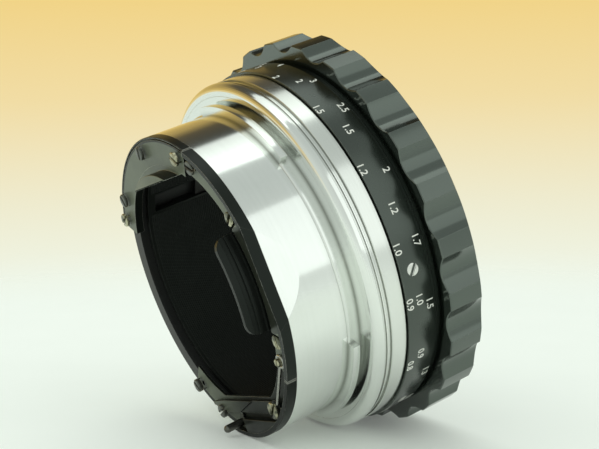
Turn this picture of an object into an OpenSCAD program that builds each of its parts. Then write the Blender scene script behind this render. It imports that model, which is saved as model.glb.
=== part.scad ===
// Focusing helicoid for a square-format camera: a bayonet barrel, a scalloped focusing ring with its
// distance scale, and a lens carrier that a coarse multi-start thread drives straight along the axis.
// The seat face of the bayonet lies at the origin, +X points to the lens and +Z to the top.
// Clock angles run clockwise from the top, seen from behind, where the camera body is.

/* [Lens carrier] */
// Diameter of the thread that takes the lens
lens_thread_d = 57; // [50:0.5:64]
// Length of the lens thread
lens_thread_len = 8; // [5:0.5:9]
// Wall of the threaded mount ring
mount_ring_wall = 1.25; // [1:0.05:2]
// Thickness of the mount ring's front flange
mount_flange_t = 1.6; // [1.2:0.1:2.5]
// Wall of the carrier tube behind its thread
carrier_wall = 1.1; // [0.8:0.05:1.6]
// Length of the tail that reaches back between the rear plates
tail_len = 9.1; // [5:0.1:10]
// Half angle of the tail
tail_half = 20; // [12:0.5:20.5]
// Width of the straight guide slots
guide_slot_w = 5.3; // [3.5:0.1:6]

/* [Helicoid] */
// Travel of the carrier for one whole turn
lead = 18.75; // [14:0.25:20]
// Turn between the two stops, in degrees
focus_turn = 240; // [180:5:250]
// Turn from the stored state back to the far stop
focus_back = 30.8; // [10:0.1:50]
// Height of the coarse thread on the carrier
thread_h = 0.6; // [0.4:0.05:1]
// Length of the thread on the carrier
thread_len = 23; // [18:0.5:24]
// Wall of the brass nut
nut_wall = 3.95; // [3.4:0.05:5]
// Width of the flange that the keeper ring holds
nut_flange_w = 2.05; // [1.5:0.05:3]
// Thickness of that flange
nut_flange_t = 2.55; // [2.2:0.05:3]

/* [Bayonet barrel] */
// Wall of the barrel that enters the camera body
barrel_wall = 3.77; // [3.4:0.01:5]
// Length of the barrel behind the seat face
barrel_len = 15.8; // [15:0.1:18]
// Thickness of the seat flange
seat_flange_t = 2.5; // [2.2:0.1:3]
// Wall of the cup that houses the nut's flange
cup_wall = 1.4; // [1:0.05:2]
// Height of the bayonet ring above the barrel
bayonet_rise = 0.35; // [0.1:0.05:0.8]
// Depth of the step that the bayonet ring sits in
bayonet_depth = 1.25; // [0.8:0.05:1.4]
// Height of a lug above the barrel
lug_h = 2.05; // [1.2:0.05:2.6]
// Thickness of a lug
lug_t = 1.65; // [1.2:0.05:2]
// Gap between a lug and the seat face
lug_gap = 1.3; // [1:0.05:1.6]
// Arc of one lug in degrees
lug_arc = 52; // [30:1:60]
// Depth of the slanting flat in the barrel's side, at the rear lip
flat_depth = 1.84; // [1:0.02:2]
// Distance from the seat face to the front end of that flat
flat_front = 10.5; // [8:0.1:12]

/* [Seat collar and index ring] */
// Wall of the collar and the index ring
index_wall = 2.6; // [2:0.05:3.5]
// Width of the flat seat face on the collar
collar_seat_w = 0.8; // [0.4:0.05:1.4]
// Length of the collar's rounded crown
crown_len = 2.15; // [1.5:0.05:2.5]
// Length of the collar
collar_len = 4.1; // [3.6:0.05:4.6]
// Length of the index ring
index_len = 3.8; // [3.4:0.05:5]

/* [Focusing ring] */
// Step up from the index ring to the scale ring
scale_step = 0.6; // [0.3:0.05:1.2]
// Wall of the scale ring
scale_wall = 1.67; // [1.3:0.01:2]
// Length of the scale ring
scale_len = 8.1; // [7:0.1:10]
// Wall of the sleeve under the scale ring
sleeve_wall = 2.9; // [2.4:0.05:3.2]
// Rise of the grip above the scale ring
grip_rise = 4.05; // [3:0.05:6]
// Length of the grip
grip_len = 8.5; // [7:0.1:12]
// Number of scallops round the grip
scallops = 24; // [16:1:30]
// Land left between two scallops, in degrees
scallop_land = 5; // [3:0.5:7]
// Depth of a scallop
scallop_depth = 1.9; // [0.8:0.05:2.2]
// Plain rim that the scallops leave at the grip's front
grip_rim_w = 0.8; // [0.5:0.1:1.5]
// Wall of the grip in front of the web
grip_wall = 3.3; // [3:0.1:5]
// Thickness of the web that joins the grip to the nut
web_t = 2.5; // [2:0.1:3]
// How far the web's front lies inside the grip
web_in = 1.8; // [1.2:0.1:3]

/* [Rear plates] */
// Thickness of the top and side plates
plate_t = 1.2; // [1:0.1:1.6]
// Thickness of the bottom plate, which lies lower to make room for the lever
bottom_plate_t = 0.6; // [0.5:0.05:0.8]
// Height of the lip above the top and side plates
lip_rise = 1.25; // [0.8:0.05:1.5]
// Width of the lip that the plates carry at their rim
lip_w = 1.1; // [0.8:0.05:1.3]
// Depth of the top plate from the lip to its straight edge
top_depth = 9.25; // [8:0.05:10]
// Depth of the bottom plate from the lip to its straight edge
bottom_depth = 8.15; // [7:0.05:10]
// Width of the band that the top and bottom plates keep inside the lip
band_w = 5.3; // [4.5:0.1:6]
// Inward reach of the side plate's ears from the lip
ear_w = 4.6; // [4:0.1:5.5]
// Arc over which an ear narrows towards the window, in degrees
ear_taper = 9; // [4:0.5:12]
// Width of an ear's tip at the window
ear_tip = 2.9; // [2.8:0.1:3.5]
// Half angle of the window between the ears
window_half = 21.5; // [21:0.5:23]
// Height of the raised segment along the top plate's straight edge
shield_h = 4.2; // [2:0.1:4.5]

/* [Aperture lever] */
// Clock angle of the lever's pivot
pivot_a = 152; // [150:0.1:154]
// Clock angle of the lever's pin
pin_a = 190; // [184:0.1:191]
// Thickness of the lever
lever_t = 0.7; // [0.5:0.05:1]
// Depth from the lip to the lever's upper edge
lever_depth = 7.45; // [7:0.05:8]
// Width of the lever
lever_w = 2.9; // [2.4:0.1:3]
// Reach of the lever's tip past the middle
lever_reach = 18.5; // [14:0.1:19]
// Diameter of the pin
pin_d = 1.8; // [1.4:0.1:2.2]
// Length of the pin behind the lever
pin_len = 4.2; // [2:0.1:5]
// Diameter of the spring wire
wire_d = 0.7; // [0.5:0.05:0.8]

/* [Fasteners] */
// Head diameter of the plate screws
plate_head_d = 3.2; // [2:0.1:3.2]
// Head height of the plate screws
plate_head_h = 1.3; // [0.6:0.05:1.5]
// Head diameter of the screws that lock the scale ring
lock_head_d = 2.9; // [2.2:0.1:3.4]
// Head diameter of the screws that hold the grip to the nut
grip_head_d = 2.6; // [2:0.1:2.6]
// Shank diameter of the screws
shank_d = 1.2; // [0.9:0.05:1.3]

/* [Hidden] */
$fn = 128;

// Clearances
fit_gap = 0.03;
run_gap = 0.05;
free_gap = 0.3;
split_gap = 0.25;
// Overshoot of a cutter past the face it opens
over = 1;
// Small chamfer on turned edges
chamfer = 0.3;

// Radii from the lens thread outwards
lens_r = lens_thread_d / 2;
mount_ring_r = lens_r + mount_ring_wall;
carrier_bore_r = mount_ring_r + fit_gap;
carrier_r = carrier_bore_r + carrier_wall;
thread_r = carrier_r + thread_h;
nut_bore_r = thread_r + run_gap;
nut_r = nut_bore_r + nut_wall;
nut_flange_r = nut_r + nut_flange_w;
cup_bore_r = nut_flange_r + run_gap;
cup_r = cup_bore_r + cup_wall;
ring_bore_r = cup_r + fit_gap;
ring_r = ring_bore_r + index_wall;
scale_r = ring_r + scale_step;
sleeve_r = scale_r - scale_wall - fit_gap;
sleeve_bore_r = sleeve_r - sleeve_wall;
grip_r = scale_r + grip_rise;
grip_bore_r = grip_r - scallop_depth - grip_wall;
web_bore_r = nut_bore_r + 2 * free_gap;
barrel_bore_r = thread_r + free_gap;
barrel_r = barrel_bore_r + barrel_wall;
spigot_r = barrel_r - bayonet_depth;
lip_r = barrel_r - lip_w;
collar_step = 0.5;

// Places along the axis, with the seat face at zero
back_z = -barrel_len;
bayonet_z = -lug_gap - lug_t;
cup_z = collar_len + index_len;
nut_back_z = seat_flange_t + run_gap;
nut_flange_z = nut_back_z + nut_flange_t;
keeper_back_z = nut_flange_z + run_gap;
keeper_front_z = cup_z - split_gap;
focus_back_z = cup_z + split_gap / 2;
scale_front_z = focus_back_z + scale_len;
grip_back_z = scale_front_z + fit_gap;
grip_front_z = grip_back_z + grip_len;
web_front_z = grip_back_z + web_in;
web_back_z = web_front_z - web_t;
carrier_front_z = web_front_z - web_t / 2;
mount_front_z = carrier_front_z + mount_flange_t;
plate_back_z = back_z - plate_t;
lip_back_z = plate_back_z - lip_rise;
bottom_back_z = back_z - bottom_plate_t;

// Travel of the carrier to the far stop and to the near stop
travel_back = lead * focus_back / 360;
travel_front = lead * (focus_turn - focus_back) / 360;
carrier_back_z = back_z + travel_back + free_gap;
tail_back_z = carrier_back_z - tail_len;
thread_back_z = carrier_front_z - thread_len;

// Straight guides
guide_angles = [-45, 135];
key_len = 3;
key_front_z = seat_flange_t - free_gap;
key_back_z = key_front_z - key_len;
key_w = guide_slot_w - 2 * run_gap;
key_in_r = carrier_bore_r + free_gap;
key_out_r = barrel_bore_r + barrel_wall / 2;
key_screw_r = (barrel_bore_r + key_out_r) / 2;
key_screw_len = 3;
key_head_h = 0.7;
key_head_d = 1.6;
slot_back_z = key_back_z - travel_front - free_gap;
slot_front_z = key_front_z + travel_back + free_gap;

// Rotation stop
stop_d = 1.6;
stop_len = 1.4;
stop_depth = 1.6;
stop_a = 200;
stop_ease = 1;
stop_r = (nut_bore_r + nut_flange_r) / 2;
stop_margin = asin((stop_d / 2 + run_gap) / stop_r) + stop_ease;

// Keeper ring
keeper_notch_w = 3;
keeper_notch_t = 1;

// Bayonet lugs
lug_angles = [30, 150, 270];

// Half angle across a scallop, and the cutter that leaves the land and the depth asked for
scallop_half = (360 / scallops - scallop_land) / 2;
scallop_low_r = grip_r - scallop_depth;
scallop_cut_r = (scallop_low_r ^ 2 + grip_r ^ 2 - 2 * scallop_low_r * grip_r * cos(scallop_half))
    / (2 * (grip_r * cos(scallop_half) - scallop_low_r));
scallop_a = 9.7;

// Middle of the tail, the window and the flat
side_a = 90;

// Rear plates: the top plate's start, the two splits and the bottom plate's end, as clock angles
top_start_a = -57.3;
top_split_a = 33.6;
bottom_split_a = 128.7;
bottom_end_a = 229.5;
lip_end_a = 196;
split_half = 0.3;
top_span = [top_start_a, top_split_a - split_half];
side_span = [top_split_a + split_half, bottom_split_a - split_half];
bottom_span = [bottom_split_a + split_half, bottom_end_a];
groove_w = 0.45;
groove_depth = 0.4;
rim_step = 0.1;
shield_inset = 0.5;
top_edge = lip_r - top_depth;
bottom_edge = lip_r - bottom_depth;
shield_r = lip_r - band_w - shield_inset;
plate_screw_r = lip_r - plate_head_d / 2 - 2 * run_gap;
plate_screw_len = 3;
end_screw_a = 4.5;
tip_screw_a = 2.5;
pair_screw_a = 15;
middle_screw_a = 9.5;
post_in_a = 5.7;
top_screw_angles = [
    top_start_a + end_screw_a, top_start_a + pair_screw_a, (top_start_a + top_split_a) / 2 + middle_screw_a,
    top_split_a - end_screw_a
];
side_screw_angles = [
    top_split_a + end_screw_a, side_a - window_half - tip_screw_a, side_a + window_half + tip_screw_a
];
bottom_screw_angles = [bottom_end_a - pair_screw_a - end_screw_a * 2, bottom_end_a - end_screw_a];
bottom_head_h = plate_head_h + plate_t - bottom_plate_t;
slot_share = 0.28;

// Turns of the screws' slots, so that no two heads line up
plate_slot_turn = 37;
pivot_slot_turn = 40;
lock_slot_turn = 55;
grip_slot_turn = 70;
mount_slot_turn = 65;

// Aperture lever, turning close behind the bottom plate
post_a = bottom_split_a - post_in_a;
post_d = 1.8;
post_h = 1.7;
pivot_head_d = 3.9;
pivot_head_h = 1.2;
lever_r = lip_r - pivot_head_d / 2 - run_gap;
lever_back_z = bottom_back_z - 2 * run_gap - lever_t;
pin_boss_wall = 0.75;
pin_boss_d = pin_d + 2 * pin_boss_wall;
pin_r = lip_r - pin_boss_d / 2 - 3 * run_gap;
lever_edge = lip_r - lever_depth;
tip_taper = 7;
tip_w = 1.8;
wire_z = plate_back_z - split_gap - wire_d / 2;

// Grip screws
grip_screw_count = 6;
grip_screw_r = (web_bore_r + nut_r) / 2;
grip_head_h = 1;
grip_screw_len = 5;

// Scale lock screws
lock_count = 3;
lock_a = 103.4;
lock_share = 0.39;
lock_z = focus_back_z + scale_len * lock_share;
lock_head_h = 0.9;
lock_proud = 0.1;
lock_shank_len = 2;

// Mount ring screws
mount_screw_count = 3;
mount_screw_a = 20;
mount_screw_r = (carrier_bore_r + thread_r) / 2;
mount_head_d = 1.4;
mount_head_h = 0.6;
mount_shank_d = 0.8;
mount_screw_len = 3;

// Grooves turned round the tail
tail_grooves = [1.6, 3.5];
tail_groove_w = 1.1;
tail_groove_depth = 0.4;
tail_corner_r = 3;
corner_steps = 6;
tail_w = 2 * carrier_r * sin(tail_half);

// Point at a radius and a clock angle
function polar(radius, clock) = radius * [cos(clock), sin(clock)];

// Lays the turning axis along +X, with clock angle zero at the top
module on_axis() {
    rotate([180, -90, 0])
        children();
}

// Places something at a clock angle, a radius and a distance along the axis
module at(clock, radius, along) {
    rotate([0, 0, clock])
        translate([radius, 0, along])
            children();
}

// Turned piece from an outline of radius and distance along the axis
module turned(outline) {
    rotate_extrude()
        polygon(outline);
}

// Plain turned ring
module ring(r_in, r_out, z_from, z_to) {
    turned([[r_in, z_from], [r_out, z_from], [r_out, z_to], [r_in, z_to]]);
}

// Part of a ring between two clock angles
module sector(r_in, r_out, span, z_from, z_to) {
    rotate([0, 0, span[0]])
        rotate_extrude(angle = span[1] - span[0])
            translate([r_in, z_from])
                square([r_out - r_in, z_to - z_from]);
}

// Flat tongue whose two corners at zero are round
module tongue(width, length, corner_r) {
    turns = [for (i = [0 : corner_steps]) 90 * i / corner_steps];
    inner = width / 2 - corner_r;
    polygon(concat(
        [[-width / 2, length]],
        [for (t = turns) [-inner - corner_r * cos(t), corner_r * (1 - sin(t))]],
        [for (t = turns) [inner + corner_r * sin(t), corner_r * (1 - cos(t))]],
        [[width / 2, length]]
    ));
}

// Slotted cheese-head screw, its head's underside at zero and its shank running forward
module cheese_screw(head_d, head_h, screw_d, length) {
    difference() {
        translate([0, 0, -head_h])
            cylinder(d = head_d, h = head_h);
        translate([-head_d, -head_d * slot_share / 4, -head_h - over])
            cube([2 * head_d, head_d * slot_share / 2, over + head_h / 2]);
    }
    cylinder(d = screw_d, h = length);
}

// Tapped hole for such a screw, from a face at zero
module screw_hole(screw_d, length) {
    translate([0, 0, -over])
        cylinder(d = screw_d + 2 * fit_gap, h = length + over + fit_gap);
}

// Cutter of the slanting flat in the barrel's side
module flat_cut() {
    slope = flat_depth / (-flat_front - lip_back_z);
    end_z = lip_back_z - over;
    at(side_a, 0, 0)
        rotate([90, 0, 0])
            linear_extrude(2 * barrel_r, center = true)
                polygon([
                    [barrel_r, -flat_front], [barrel_r + over, -flat_front], [barrel_r + over, end_z],
                    [barrel_r + slope * (end_z + flat_front), end_z]
                ]);
}

// Holes for a row of plate screws, through a plate and into the barrel
module plate_holes(angles, thickness) {
    for (a = angles)
        at(a, plate_screw_r, back_z - thickness)
            screw_hole(shank_d, thickness + plate_screw_len);
}

// A row of plate screws
module plate_screws(angles, thickness, head_h) {
    for (a = angles)
        at(a, plate_screw_r, back_z - thickness)
            rotate([0, 0, plate_slot_turn * a])
                cheese_screw(plate_head_d, head_h, shank_d, thickness + plate_screw_len);
}

// Rear plate between two clock angles, with a lip at its rim and a groove of some depth inside it
module lipped_plate(span, r_in, back, depth) {
    groove = [[lip_r - groove_w, back], [lip_r - groove_w, back + depth], [lip_r, back + depth]];
    rotate([0, 0, span[0]])
        rotate_extrude(angle = span[1] - span[0])
            polygon(concat(
                [[r_in, back]], depth > 0 ? groove : [[lip_r, back]],
                [
                    [lip_r, lip_back_z], [barrel_r - chamfer / 2, lip_back_z],
                    [barrel_r, lip_back_z + chamfer / 2], [barrel_r, back_z], [r_in, back_z]
                ]
            ));
}

// Opening inside a plate's band that leaves the side of a straight edge
module plate_opening(edge_from, edge_to) {
    rear_z = plate_back_z - shield_h - over;
    intersection() {
        ring(0, lip_r - band_w, rear_z, back_z + over);
        translate([edge_from, -barrel_r, rear_z - over])
            cube([edge_to - edge_from, 2 * barrel_r, barrel_r]);
    }
}

module outer_barrel() {
    color("silver") on_axis() difference() {
        turned([
            [barrel_bore_r, back_z], [barrel_r, back_z], [barrel_r, bayonet_z], [spigot_r, bayonet_z],
            [spigot_r, 0], [cup_r, 0], [cup_r, cup_z], [cup_bore_r, cup_z], [cup_bore_r, seat_flange_t],
            [barrel_bore_r, seat_flange_t]
        ]);
        flat_cut();
        for (a = guide_angles) {
            at(a, 0, key_back_z - fit_gap)
                translate([barrel_bore_r - over, -key_w / 2 - fit_gap, 0])
                    cube([key_out_r + fit_gap - barrel_bore_r + over, key_w + 2 * fit_gap,
                        seat_flange_t - key_back_z + over]);
            at(a, key_screw_r, key_back_z)
                mirror([0, 0, 1])
                    screw_hole(shank_d, key_screw_len);
        }
        at(stop_a, stop_r, seat_flange_t)
            mirror([0, 0, 1])
                screw_hole(stop_d, stop_len);
        plate_holes(top_screw_angles, plate_t);
        plate_holes(side_screw_angles, plate_t);
        plate_holes(bottom_screw_angles, bottom_plate_t);
        for (a = [post_a, pivot_a])
            at(a, lever_r, back_z)
                screw_hole(shank_d, plate_screw_len);
    }
}

module bayonet_ring() {
    color("silver") on_axis() {
        turned([
            [spigot_r + fit_gap, bayonet_z], [barrel_r + bayonet_rise - chamfer, bayonet_z],
            [barrel_r + bayonet_rise, bayonet_z + chamfer], [barrel_r + bayonet_rise, 0],
            [spigot_r + fit_gap, 0]
        ]);
        for (a = lug_angles)
            sector(spigot_r + bayonet_depth / 2, barrel_r + lug_h, [a - lug_arc / 2, a + lug_arc / 2],
                bayonet_z, bayonet_z + lug_t);
    }
}

module seat_collar() {
    seat_r = ring_bore_r + collar_seat_w;
    crown_steps = 8;
    crown = [
        for (i = [0 : crown_steps])
            [seat_r + (ring_r - seat_r) * sin(90 * i / crown_steps),
                crown_len * (1 - cos(90 * i / crown_steps))]
    ];
    bead_z = (crown_len + collar_len) / 2;
    color("silver") on_axis()
        turned(concat([[ring_bore_r, 0]], crown, [
            [ring_r - collar_step, crown_len], [ring_r - collar_step, bead_z - chamfer / 2],
            [ring_r - collar_step / 2, bead_z - chamfer / 2],
            [ring_r - collar_step / 2, bead_z + chamfer / 2],
            [ring_r - collar_step, bead_z + chamfer / 2], [ring_r - collar_step, collar_len],
            [ring_bore_r, collar_len]
        ]));
}

module index_ring() {
    color("gainsboro") on_axis()
        turned([
            [ring_bore_r, collar_len], [ring_r - chamfer / 2, collar_len],
            [ring_r, collar_len + chamfer / 2],
            [ring_r, cup_z - chamfer / 2], [ring_r - chamfer / 2, cup_z], [ring_bore_r, cup_z]
        ]);
}

module keeper_ring() {
    color("dimgray") on_axis() difference() {
        ring(nut_r + 2 * run_gap, cup_bore_r - fit_gap, keeper_back_z, keeper_front_z);
        for (a = [0, 180])
            at(a, 0, keeper_front_z - keeper_notch_t)
                translate([nut_r, -keeper_notch_w / 2, 0])
                    cube([cup_bore_r - nut_r + over, keeper_notch_w, keeper_notch_t + over]);
    }
}

module guide_keys() {
    color("dimgray") on_axis()
        for (a = guide_angles)
            difference() {
                at(a, 0, key_back_z)
                    translate([key_in_r, -key_w / 2, 0])
                        cube([key_out_r - key_in_r, key_w, key_len]);
                at(a, key_screw_r, key_back_z - over)
                    cylinder(d = shank_d + 2 * fit_gap, h = key_len + 2 * over);
                at(a, key_screw_r, key_front_z - key_head_h)
                    cylinder(d = key_head_d + 2 * fit_gap, h = key_head_h + over);
            }
}

module key_screws() {
    color("silver") on_axis()
        for (a = guide_angles)
            at(a, key_screw_r, key_front_z - key_head_h)
                mirror([0, 0, 1])
                    cheese_screw(key_head_d, key_head_h, shank_d, key_len - key_head_h + key_screw_len);
}

module stop_pin() {
    color("silver") on_axis()
        at(stop_a, stop_r, seat_flange_t - stop_len)
            cylinder(d = stop_d, h = stop_len + stop_depth - free_gap);
}

module top_plate() {
    color("#2b2d2c") on_axis() difference() {
        union() {
            lipped_plate(top_span, barrel_r / 2, plate_back_z, groove_depth);
            turned([
                [0, plate_back_z - shield_h], [shield_r - chamfer, plate_back_z - shield_h],
                [shield_r, plate_back_z - shield_h + chamfer], [shield_r, back_z - plate_t / 2],
                [0, back_z - plate_t / 2]
            ]);
        }
        plate_opening(-barrel_r, top_edge);
        plate_holes(top_screw_angles, plate_t);
    }
}

module side_plate() {
    ear_r = lip_r - ear_w;
    window = [side_a - window_half, side_a + window_half];
    ears = [[side_span[0] - over, window[0] + over], [window[1] - over, side_span[1] + over]];
    color("#2b2d2c") on_axis() difference() {
        sector(ear_r, barrel_r, side_span, lip_back_z, back_z);
        for (ear = ears)
            rotate([0, 0, ear[0]])
                rotate_extrude(angle = ear[1] - ear[0])
                    polygon([
                        [ear_r - over, lip_back_z - over], [lip_r, lip_back_z - over],
                        [lip_r, plate_back_z + groove_depth],
                        [lip_r - groove_w, plate_back_z + groove_depth],
                        [lip_r - groove_w, plate_back_z], [ear_r - over, plate_back_z]
                    ]);
        sector(ear_r - over, barrel_bore_r + fit_gap, window, lip_back_z - over, back_z + over);
        for (side = [-1, 1])
            translate([0, 0, lip_back_z - over])
                linear_extrude(plate_t + lip_rise + 2 * over)
                    polygon([
                        polar(ear_r - over, side_a + side * (window_half + ear_taper)),
                        polar(lip_r - ear_tip, side_a + side * (window_half - over)),
                        polar(ear_r - over, side_a + side * (window_half - over))
                    ]);
        flat_cut();
        plate_holes(side_screw_angles, plate_t);
        at(post_a, lever_r, plate_back_z)
            screw_hole(shank_d, plate_t + over);
    }
}

module bottom_plate() {
    color("#2b2d2c") on_axis() difference() {
        lipped_plate(bottom_span, barrel_r / 2, bottom_back_z, 0);
        sector(lip_r - lip_w / 2, barrel_r + over, [lip_end_a, bottom_end_a + over], lip_back_z - over,
            bottom_back_z + rim_step);
        plate_opening(-bottom_edge, barrel_r);
        plate_holes(bottom_screw_angles, bottom_plate_t);
        at(pivot_a, lever_r, bottom_back_z)
            screw_hole(shank_d, bottom_plate_t + over);
    }
}

module top_plate_screws() {
    color("#4a4a44") on_axis()
        plate_screws(top_screw_angles, plate_t, plate_head_h);
}

module side_plate_screws() {
    color("#4a4a44") on_axis()
        plate_screws(side_screw_angles, plate_t, plate_head_h);
}

module bottom_plate_screws() {
    color("#4a4a44") on_axis()
        plate_screws(bottom_screw_angles, bottom_plate_t, bottom_head_h);
}

module spring_post() {
    color("#4a4a44") on_axis()
        at(post_a, lever_r, plate_back_z)
            cheese_screw(post_d, post_h, shank_d, plate_t + plate_screw_len);
}

module lever_spring() {
    eye_r = post_d / 2 + fit_gap + wire_d / 2;
    leg_end_a = pivot_a - asin((pivot_head_d / 2 + free_gap + wire_d / 2) / lever_r);
    post = polar(lever_r, post_a);
    leg_end = polar(lever_r, leg_end_a);
    leg = leg_end - post;
    color("lightgray") on_axis()
        translate([post[0], post[1], wire_z]) {
            rotate_extrude()
                translate([eye_r, 0])
                    circle(d = wire_d, $fn = 24);
            rotate([0, 0, atan2(leg[1], leg[0])])
                translate([eye_r, 0, 0])
                    rotate([0, 90, 0])
                        cylinder(d = wire_d, h = norm(leg) - eye_r, $fn = 24);
        }
}

module lever_pivot_screw() {
    color("#6b675c") on_axis()
        at(pivot_a, lever_r, lever_back_z - run_gap)
            rotate([0, 0, pivot_slot_turn])
                cheese_screw(pivot_head_d, pivot_head_h, shank_d,
                    back_z - lever_back_z + run_gap + plate_screw_len);
}

module helicoid_nut() {
    color("goldenrod") on_axis() difference() {
        turned([
            [nut_bore_r, nut_back_z], [nut_flange_r, nut_back_z], [nut_flange_r, nut_flange_z],
            [nut_r, nut_flange_z], [nut_r, web_back_z], [nut_bore_r, web_back_z]
        ]);
        sector(stop_r - stop_d / 2 - 2 * run_gap, stop_r + stop_d / 2 + 2 * run_gap,
            [stop_a - focus_back - stop_margin, stop_a + focus_turn - focus_back + stop_margin],
            nut_back_z - over, nut_back_z + stop_depth);
        for (i = [0 : grip_screw_count - 1])
            at(360 * i / grip_screw_count, grip_screw_r, web_back_z)
                mirror([0, 0, 1])
                    screw_hole(shank_d, grip_screw_len);
    }
}

module grip_ring() {
    color("#222423") on_axis() difference() {
        turned([
            [sleeve_bore_r, focus_back_z], [sleeve_r, focus_back_z], [sleeve_r, grip_back_z],
            [grip_r - chamfer, grip_back_z], [grip_r, grip_back_z + chamfer],
            [grip_r, grip_front_z - chamfer],
            [grip_r - chamfer, grip_front_z], [grip_bore_r + chamfer, grip_front_z],
            [grip_bore_r, grip_front_z - chamfer], [grip_bore_r, web_front_z], [web_bore_r, web_front_z],
            [web_bore_r, web_back_z], [sleeve_bore_r, web_back_z]
        ]);
        for (i = [0 : scallops - 1])
            at(scallop_a + 360 * (i + 0.5) / scallops, scallop_low_r + scallop_cut_r, grip_back_z - over)
                cylinder(r = scallop_cut_r, h = over + grip_len - grip_rim_w);
        for (i = [0 : grip_screw_count - 1])
            at(360 * i / grip_screw_count, grip_screw_r, web_back_z - over) {
                cylinder(d = shank_d + 2 * fit_gap, h = web_t + 2 * over);
                translate([0, 0, over + web_t - grip_head_h])
                    cylinder(d = grip_head_d + 2 * fit_gap, h = grip_head_h + over);
            }
        for (i = [0 : lock_count - 1])
            at(lock_a + 360 * i / lock_count, sleeve_r, lock_z)
                rotate([0, -90, 0])
                    screw_hole(shank_d, lock_shank_len);
    }
}

module scale_ring() {
    color("#222423") on_axis() difference() {
        turned([
            [scale_r - scale_wall, focus_back_z], [scale_r - chamfer, focus_back_z],
            [scale_r, focus_back_z + chamfer], [scale_r, scale_front_z],
            [scale_r - scale_wall, scale_front_z]
        ]);
        for (i = [0 : lock_count - 1])
            at(lock_a + 360 * i / lock_count, 0, lock_z)
                rotate([0, 90, 0]) {
                    cylinder(d = shank_d + 2 * fit_gap, h = scale_r + over);
                    translate([0, 0, scale_r + lock_proud - lock_head_h])
                        cylinder(d = lock_head_d + 2 * fit_gap, h = lock_head_h + over);
                }
    }
}

module scale_lock_screws() {
    head_r = scale_r + lock_proud - lock_head_h;
    color("whitesmoke") on_axis()
        for (i = [0 : lock_count - 1])
            at(lock_a + 360 * i / lock_count, head_r, lock_z)
                rotate([0, -90, 0])
                    rotate([0, 0, lock_slot_turn])
                        cheese_screw(lock_head_d, lock_head_h, shank_d, head_r - sleeve_r + lock_shank_len);
}

module grip_screws() {
    color("#4a4a44") on_axis()
        for (i = [0 : grip_screw_count - 1])
            at(360 * i / grip_screw_count, grip_screw_r, web_front_z - grip_head_h)
                mirror([0, 0, 1])
                    rotate([0, 0, grip_slot_turn * i])
                        cheese_screw(grip_head_d, grip_head_h, shank_d,
                            web_t - grip_head_h + grip_screw_len);
}

module carrier_tube() {
    color("#1c1d1d") on_axis() difference() {
        union() {
            turned([
                [carrier_bore_r, carrier_back_z], [carrier_r, carrier_back_z], [carrier_r, thread_back_z],
                [thread_r, thread_back_z], [thread_r, carrier_front_z], [carrier_bore_r, carrier_front_z]
            ]);
            intersection() {
                ring(carrier_bore_r, carrier_r, tail_back_z, carrier_back_z + over);
                rotate([0, 0, side_a])
                    translate([0, 0, tail_back_z])
                        rotate([90, 0, 90])
                            linear_extrude(2 * carrier_r)
                                tongue(tail_w, tail_len + over, tail_corner_r);
            }
        }
        for (g = tail_grooves)
            ring(carrier_r - tail_groove_depth, carrier_r + over, tail_back_z + g,
                tail_back_z + g + tail_groove_w);
        for (a = guide_angles)
            at(a, 0, slot_back_z)
                translate([carrier_bore_r / 2, -guide_slot_w / 2, 0])
                    cube([carrier_r, guide_slot_w, slot_front_z - slot_back_z]);
        for (i = [0 : mount_screw_count - 1])
            at(mount_screw_a + 360 * i / mount_screw_count, mount_screw_r, carrier_front_z)
                mirror([0, 0, 1])
                    screw_hole(mount_shank_d, mount_screw_len);
    }
}

module lens_mount_ring() {
    color("silver") on_axis() difference() {
        turned([
            [lens_r, mount_front_z - lens_thread_len], [mount_ring_r, mount_front_z - lens_thread_len],
            [mount_ring_r, carrier_front_z], [thread_r - chamfer, carrier_front_z],
            [thread_r - chamfer, mount_front_z], [lens_r, mount_front_z]
        ]);
        for (i = [0 : mount_screw_count - 1])
            at(mount_screw_a + 360 * i / mount_screw_count, mount_screw_r, carrier_front_z - over) {
                cylinder(d = mount_shank_d + 2 * fit_gap, h = mount_flange_t + 2 * over);
                translate([0, 0, over + mount_flange_t - mount_head_h])
                    cylinder(d = mount_head_d + 2 * fit_gap, h = mount_head_h + over);
            }
    }
}

module mount_ring_screws() {
    color("#4a4a44") on_axis()
        for (i = [0 : mount_screw_count - 1])
            at(mount_screw_a + 360 * i / mount_screw_count, mount_screw_r, mount_front_z - mount_head_h)
                mirror([0, 0, 1])
                    rotate([0, 0, mount_slot_turn * i])
                        cheese_screw(mount_head_d, mount_head_h, mount_shank_d,
                            mount_flange_t - mount_head_h + mount_screw_len);
}

module aperture_lever() {
    pivot = polar(lever_r, pivot_a);
    pin = polar(pin_r, pin_a);
    low = -lever_edge - lever_w;
    web = pin_boss_d / 3;
    color("#303231") on_axis() difference() {
        union() {
            translate([0, 0, lever_back_z])
                linear_extrude(lever_t)
                    polygon([
                        [-lever_edge, pivot[1]], [-lever_edge, tip_taper - lever_reach],
                        [-lever_edge - tip_w / 4, -lever_reach],
                        [-lever_edge - tip_w / 2, tip_taper - lever_reach],
                        [low, pin[1] - pin_boss_d], [low, pin[1] - web], [pin[0], pin[1] - web],
                        [pin[0], pin[1] + web], [low, pin[1] + web], [low, pivot[1]]
                    ]);
            at(pivot_a, lever_r, lever_back_z)
                cylinder(d = pivot_head_d, h = lever_t);
            at(pin_a, pin_r, lever_back_z - rim_step)
                cylinder(d = pin_boss_d, h = lever_t);
        }
        at(pivot_a, lever_r, lever_back_z - over)
            cylinder(d = shank_d + 2 * run_gap, h = lever_t + 2 * over);
        at(pin_a, pin_r, lever_back_z - over)
            cylinder(d = pin_d + 2 * fit_gap, h = lever_t + 2 * over);
    }
}

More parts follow.
